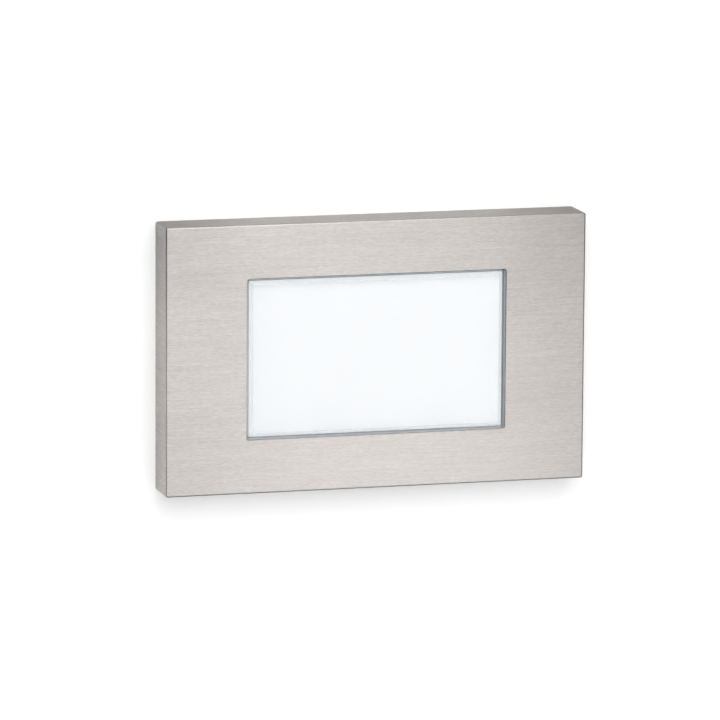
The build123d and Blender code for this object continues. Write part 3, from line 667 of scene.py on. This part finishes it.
def pan_screw_shape(screw, length):
    """A cross-recess pan-head screw: seat at z 0, head up, thread down to a chamfered tip."""
    shape = bmesh.new()
    root = screw.shank_radius - THREAD_DEPTH * screw.pitch
    rings = [ring(shape, root, 0.0)]
    for radius_share, height_share in HEAD_OUTLINE:
        rings.append(ring(shape, screw.head_radius * radius_share, screw.head_height * height_share))
    for lower, upper in zip(rings, rings[1:]):
        bridge(shape, lower, upper)
    cross = cross_outline(screw.head_radius * CROSS_REACH, screw.head_radius * CROSS_HALF_WIDTH)
    socket_floor(shape, rings[-1], cross, screw.head_height * CROSS_DEPTH, CROSS_TAPER)
    thread_bottom = -length + screw.shank_radius * TIP_LENGTH
    thread(shape, root, screw.shank_radius, screw.pitch, thread_bottom, 0.0)
    tip = ring(shape, root * TIP_END, -length)
    bridge(shape, tip, ring(shape, root, thread_bottom))
    shape.faces.new(tip)
    return shape


def screw_places(low, high, head_radius):
    """The axes of one screw, or of two or four that stand symmetric about the middle."""
    x, z = high.x - head_radius, high.z - head_radius
    xs = (-x, x) if low.x < -head_radius < head_radius < high.x else ((low.x + high.x) / 2,)
    zs = (-z, z) if z > head_radius else (0.0,)
    return [(place_x, place_z) for place_x in xs for place_z in zs]


def pan_screws(node, screw):
    """Threaded screws in the places of a CAD node's plain ones."""
    low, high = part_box(node)
    seat_y = low.y + screw.head_height if screw.faces_room else high.y - screw.head_height
    length = high.y - seat_y if screw.faces_room else seat_y - low.y
    whole = bmesh.new()
    for x, z in screw_places(low, high, screw.head_radius):
        shape = pan_screw_shape(screw, length)
        place_shape(shape, (x, seat_y, z), (0, -1 if screw.faces_room else 1, 0))
        part = bpy.data.meshes.new("part")
        shape.to_mesh(part)
        shape.free()
        whole.from_mesh(part)
        bpy.data.meshes.remove(part)
    screw_piece(whole, node, "fixture", screw.look)


for node, screw in PAN_SCREWS.items():
    pan_screws(node, screw)

GRUB_PITCH = 0.7 * MM
GRUB_THREAD_DEPTH = 0.4 * MM
FOOT_CHAMFER = 0.3 * MM
FOOT_INSET = 0.1 * MM
POINT_LENGTH = 0.5 * MM
POINT_INSET = 0.3 * MM
HEX_RADIUS = 1.15 * MM
# The socket's depth in shares of the screw's length, and its floor in shares of its mouth.
HEX_DEPTH = 0.37
HEX_TAPER = 0.96


def grub_screw(node):
    """The set screw: threaded all over, a hexagon socket in its foot and a tapered point on its tip."""
    low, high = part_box(node)
    radius = (high.x - low.x) / 2
    length = high.z - low.z
    root = radius - GRUB_THREAD_DEPTH
    thread_top = length - POINT_LENGTH
    shape = bmesh.new()
    foot = ring(shape, root - FOOT_INSET, 0.0)
    bridge(shape, foot, ring(shape, root, FOOT_CHAMFER))
    socket_floor(shape, foot, circle(HEX_RADIUS, 6), -length * HEX_DEPTH, HEX_TAPER)
    thread(shape, root, radius, GRUB_PITCH, FOOT_CHAMFER, thread_top)
    tip = ring(shape, root - POINT_INSET, length)
    bridge(shape, ring(shape, root, thread_top), tip)
    shape.faces.new(tip)
    place_shape(shape, ((low.x + high.x) / 2, (low.y + high.y) / 2, low.z), (0, 0, 1))
    screw_piece(shape, node, node, "grub")


grub_screw("set_screw_left")
grub_screw("set_screw_right")

# ---- Turned pieces ----

LATHE_STEPS = 48
FOUR_STEPS = (0.0, 0.25, 0.5, 0.75, 1.0)
THREE_STEPS = (0.0, 0.33, 0.67, 1.0)


def lathe(centre, profile):
    """A turned form about an axis along Y, from rows of (radius, y, material of the band that ends there)."""
    shape = bmesh.new()
    rows = []
    for radius, y, _ in profile:
        points = circle(radius, LATHE_STEPS)
        rows.append([shape.verts.new((centre[0] + x, y, centre[1] + z)) for x, z in points])
    for lower, upper, (_, _, material) in zip(rows, rows[1:], profile[1:]):
        bridge(shape, lower, upper, material)
    return shape


def quarter_turn(steps):
    """The sine and cosine at each step, which is a share of a right angle."""
    return [(math.sin(share * math.pi / 2), math.cos(share * math.pi / 2)) for share in steps]


LIP_THICKNESS = 1.2 * MM
LIP_ROUND = 0.5 * MM
GROOVE_DEPTH = 1.5 * MM
BORE_RADIUS = 3.5 * MM
# How far the middle of the bore's flare stands off its corner.
FLARE = 0.3 * LIP_ROUND


def supply_bushing():
    """The rubber grommet in the rear cover: two rounded lips, a groove for the cover, a flared bore."""
    low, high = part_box("supply_grommet")
    outer = (high.x - low.x) / 2
    groove = outer - GROOVE_DEPTH
    front_lip, back_lip = low.y + LIP_THICKNESS, high.y - LIP_THICKNESS
    points = [(BORE_RADIUS + LIP_ROUND, low.y)]
    for sine, cosine in quarter_turn(FOUR_STEPS):
        points.append((outer - LIP_ROUND + LIP_ROUND * sine, low.y + LIP_ROUND - LIP_ROUND * cosine))
    points += [(outer, front_lip), (groove, front_lip), (groove, back_lip), (outer, back_lip)]
    for sine, cosine in quarter_turn(FOUR_STEPS):
        points.append((outer - LIP_ROUND + LIP_ROUND * cosine, high.y - LIP_ROUND + LIP_ROUND * sine))
    points += [(BORE_RADIUS + LIP_ROUND, high.y), (BORE_RADIUS + FLARE, high.y - FLARE)]
    points += [(BORE_RADIUS, high.y - LIP_ROUND), (BORE_RADIUS, low.y + LIP_ROUND)]
    points += [(BORE_RADIUS + FLARE, low.y + FLARE), (BORE_RADIUS + LIP_ROUND, low.y)]
    shape = lathe(middle(low, high), [(radius, y, 0) for radius, y in points])
    mesh = to_mesh(shape, "supply_bushing", "rubber")
    new_piece("supply_bushing", mesh, "fixture", "supply_grommet", "supply_grommet", smooth_angle=50)


supply_bushing()

SLEEVE, CAN = 0, 1
CRIMP_DEPTH = 0.3 * MM
CRIMP_START = 1.2 * MM
CRIMP_LENGTH = 1.0 * MM
TOP_DEPTH = 0.25 * MM
SCORE_DEPTH = 0.35 * MM
# The sleeve's rolled edge, the can's top and the scored middle, in shares of the capacitor's radius.
ROLLED_EDGE, TOP_EDGE, SCORE_EDGE, SCORE_FLOOR = 0.82, 0.80, 0.12, 0.06


def capacitor_can(node):
    """A radial capacitor: a crimped sleeve, rolled over the can's edge, and a bare scored top."""
    low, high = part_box(node)
    radius = (high.x - low.x) / 2
    inset = radius - CRIMP_DEPTH
    foot, top = low.y, high.y
    profile = [(0.0, foot, CAN), (inset, foot, CAN), (radius, foot + CRIMP_DEPTH, SLEEVE)]
    for share in FOUR_STEPS:
        swell = math.sin(share * math.pi) * CRIMP_DEPTH
        profile.append((radius - swell, foot + CRIMP_START + CRIMP_LENGTH * share, SLEEVE))
    for sine, cosine in quarter_turn(THREE_STEPS):
        profile.append((inset + CRIMP_DEPTH * cosine, top - CRIMP_DEPTH + CRIMP_DEPTH * sine, SLEEVE))
    profile += [(radius * ROLLED_EDGE, top, SLEEVE), (radius * TOP_EDGE, top - TOP_DEPTH, SLEEVE)]
    profile += [(radius * SCORE_EDGE, top - TOP_DEPTH, CAN), (radius * SCORE_FLOOR, top - SCORE_DEPTH, CAN)]
    profile.append((0.0, top - SCORE_DEPTH, CAN))
    mesh = to_mesh(lathe(middle(low, high), profile), node + "_can", "sleeve", "cast")
    new_piece(node + "_can", mesh, "fixture", node, node, smooth_angle=40)


capacitor_can("input_capacitor")
capacitor_can("output_capacitor")

# ---- The LEDs ----

LED_COLUMNS, LED_ROWS = 6, 2
LED_LENGTH, LED_WIDTH = 3.5 * MM, 2.8 * MM
LED_NIP = 0.25 * MM
WELL_DEPTH = 0.22 * MM
# The well's mouth and floor in shares of the package's length and width.
WELL_MOUTH, WELL_FLOOR = 0.86, 0.72


def led_package(shape, centre, front, back):
    """One white package with a sloping well that is filled with phosphor."""
    outline = ((1.0, back), (1.0, front), (WELL_MOUTH, front), (WELL_FLOOR, front + WELL_DEPTH))
    loops = [
        nipped_loop(shape, centre, LED_LENGTH / 2 * share, LED_WIDTH / 2 * share, LED_NIP * share, y)
        for share, y in outline
    ]
    for lower, upper in zip(loops, loops[1:]):
        bridge(shape, lower, upper)
    shape.faces.new(loops[0])
    shape.faces.new(loops[-1]).material_index = 1


def led_packages():
    """Twelve packages in the places of the CAD node's plain ones."""
    low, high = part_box("leds")
    pitch_x = (high.x - low.x - LED_LENGTH) / (LED_COLUMNS - 1)
    pitch_z = (high.z - low.z - LED_WIDTH) / (LED_ROWS - 1)
    shape = bmesh.new()
    for column in range(LED_COLUMNS):
        for row in range(LED_ROWS):
            x = low.x + LED_LENGTH / 2 + column * pitch_x
            z = low.z + LED_WIDTH / 2 + row * pitch_z
            led_package(shape, (x, z), low.y, high.y)
    new_piece("led_packages", to_mesh(shape, "led_packages", "white", "phosphor"), "fixture", "leds", "leds")


led_packages()

# ---- The choke's winding ----

CHOKE_CORE = 2.6 * MM
CHOKE_FLANGE = 1.25 * MM
WIRE_RADIUS = 0.3 * MM
# The least distance between two turns, in radii of the wire.
WIRE_SPACING = 2.05
COIL_STEPS = 20
WIRE_SIDES = 8


def choke_winding():
    """One layer of enamelled wire wound side by side round the choke's core, about an axis along Y."""
    low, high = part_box("choke")
    centre_x, centre_z = middle(low, high)
    start_y, end_y = low.y + CHOKE_FLANGE, high.y - CHOKE_FLANGE
    turns = int((end_y - start_y) / (WIRE_SPACING * WIRE_RADIUS))
    pitch = (end_y - start_y - 2 * WIRE_RADIUS) / turns
    coil_radius = CHOKE_CORE + WIRE_RADIUS
    shape = bmesh.new()
    rings = []
    for step in range(turns * COIL_STEPS + 1):
        angle = math.tau * step / COIL_STEPS
        y = start_y + WIRE_RADIUS + pitch * step / COIL_STEPS
        rings.append([
            shape.verts.new((
                centre_x + (coil_radius + out) * math.cos(angle),
                y + along,
                centre_z + (coil_radius + out) * math.sin(angle),
            ))
            for out, along in circle(WIRE_RADIUS, WIRE_SIDES)
        ])
    for lower, upper in zip(rings, rings[1:]):
        bridge(shape, lower, upper)
    shape.faces.new(rings[0])
    shape.faces.new(rings[-1])
    new_piece("choke_winding", to_mesh(shape, "choke_winding", "copper"), "fixture", "choke", smooth_angle=60)


choke_winding()

# ---- Wall and floor ----

# The wall stands a hair behind the gasket's back, so that the two never share a plane.
WALL_BACK = 0.0003
FLOOR_Z = -0.45
HALF_STAGE = 3.0
# Half the length and height of the hole for the wall box.
OPENING = (0.053, 0.030)
PAINT = (0.78, 0.78, 0.78)
# How far the paint is lifted towards white: for the camera, and for metal and glass.
LIFT_SEEN = 0.34
WALL_LIFT_MIRRORED = 0.02
FLOOR_LIFT_MIRRORED = 0.1
# Where the floor's painted dark reflection begins and where it is full, along Y.
REFLECTED_STRIP_RANGE = (-0.9, -0.35)
REFLECTED_STRIP_COLOUR = (0.05, 0.06, 0.08)


class Paint(Nodes):
    """Matt paint that keeps the shadow, lifted to white for the camera and a little in glass and metal."""

    def __init__(self, name, lift_mirrored):
        self.material = bpy.data.materials.new(name)
        super().__init__(self.material)
        paint = self.add("BsdfDiffuse")
        self.feed(paint.inputs[0], PAINT)
        rays = self.add("LightPath").outputs
        mirrored = self.math("MAXIMUM", rays["Is Glossy Ray"], rays["Is Transmission Ray"])
        seen = self.math("MULTIPLY", rays["Is Camera Ray"], LIFT_SEEN)
        glow = self.add("Emission")
        self.feed(glow.inputs[1], self.math("MAXIMUM", seen, self.math("MULTIPLY", mirrored, lift_mirrored)))
        both = self.add("AddShader")
        self.link(paint.outputs[0], both.inputs[0])
        self.link(glow.outputs[0], both.inputs[1])
        self.surface = both.outputs[0]

    def paint_reflected_dark_strip(self):
        """Near the wall the floor shows a dark strip in reflections alone: a painted reflection that the
        metal's downward faces pick up.
        """
        near = self.ramp(self.axes(self.add("TexCoord").outputs["Object"])["Y"], *REFLECTED_STRIP_RANGE, 0.0, 1.0)
        share = self.math("MULTIPLY", near, self.add("LightPath").outputs["Is Glossy Ray"])
        dark = self.add("BsdfDiffuse")
        self.feed(dark.inputs[0], REFLECTED_STRIP_COLOUR)
        self.surface = self.choose(share, self.surface, dark.outputs[0])

    def show_front(self, passes_shadow):
        """Shows the paint only from its front, so that a view from behind or below looks through it."""
        hidden = self.add("NewGeometry").outputs["Backfacing"]
        if passes_shadow:
            hidden = self.math("MAXIMUM", hidden, self.add("LightPath").outputs["Is Shadow Ray"])
        self.show(self.choose(hidden, self.surface, self.add("BsdfTransparent").outputs[0]))


def stage_mesh(name, points, faces, material):
    mesh = bpy.data.meshes.new(name)
    mesh.from_pydata(points, [], faces)
    mesh.materials.append(material)
    thing = add_object(name, mesh)


def rectangle(half_length, low, high):
    return [(-half_length, low), (half_length, low), (half_length, high), (-half_length, high)]


def build_wall():
    """A wall with a hole for the light's housing."""
    paint = Paint("wall_paint", WALL_LIFT_MIRRORED)
    paint.show_front(passes_shadow=True)
    edges = rectangle(HALF_STAGE, FLOOR_Z, HALF_STAGE) + rectangle(OPENING[0], -OPENING[1], OPENING[1])
    points = [(x, WALL_BACK, z) for x, z in edges]
    stage_mesh("wall", points, [(i, (i + 1) % 4, 4 + (i + 1) % 4, 4 + i) for i in range(4)], paint.material)


def build_floor():
    paint = Paint("floor_paint", FLOOR_LIFT_MIRRORED)
    paint.paint_reflected_dark_strip()
    paint.show_front(passes_shadow=False)
    points = [(x, y, FLOOR_Z) for x, y in rectangle(HALF_STAGE, -HALF_STAGE, HALF_STAGE)]
    stage_mesh("floor", points, [(0, 1, 2, 3)], paint.material)


build_wall()
build_floor()

# ---- Lamps and world ----

# Each lamp's place, size and power. All of them face the frame's origin.
LAMPS = {
    "key": ((-0.105, -1.15, 0.68), (1.1, 0.9), 11.9),
    "low": ((0.1, -0.31, -0.15), (0.13, 0.1), 0.102),
    "fill_back": ((-0.6, 1.3, 0.9), (1.0, 1.0), 12),
}
WHITE = (1, 1, 1)
# How the world's light falls off with height and to the right: two directions, then the levels there.
FALL_UP = (0.0, 0.9, 0.665, 0.0)
FALL_RIGHT = (0.375, 0.925, 1.0, 0.45)


def lamp(name, place, size, power):
    data = bpy.data.lights.new(name, "AREA")
    data.shape = "RECTANGLE"
    data.size, data.size_y = size
    data.energy = power
    thing = add_object(name, data)
    thing.location = place
    thing.rotation_mode = "QUATERNION"
    thing.rotation_quaternion = (-Vector(place)).to_track_quat("-Z", "Y")
    thing.visible_camera = False


def light_world():
    """Soft light that falls off upwards and to the right, but is white for the camera and through glass."""
    world = bpy.data.worlds.new("world")
    bpy.context.scene.world = world
    w = Nodes(world, "OutputWorld")
    direction = w.axes(w.add("TexCoord").outputs["Generated"])
    level = w.math("MULTIPLY", w.ramp(direction["Z"], *FALL_UP), w.ramp(direction["X"], *FALL_RIGHT))
    sky, seen_sky = w.add("Background"), w.add("Background")
    w.feed(sky.inputs[0], WHITE)
    w.feed(sky.inputs[1], level)
    w.feed(seen_sky.inputs[0], WHITE)
    w.feed(seen_sky.inputs[1], 1.0)
    rays = w.add("LightPath").outputs
    white_for = w.math("MAXIMUM", rays["Is Camera Ray"], rays["Is Transmission Ray"])
    w.show(w.choose(white_for, sky.outputs[0], seen_sky.outputs[0]))


for name, (place, size, power) in LAMPS.items():
    lamp(name, place, size, power)
light_world()

bpy.context.scene.view_settings.view_transform = "Standard"
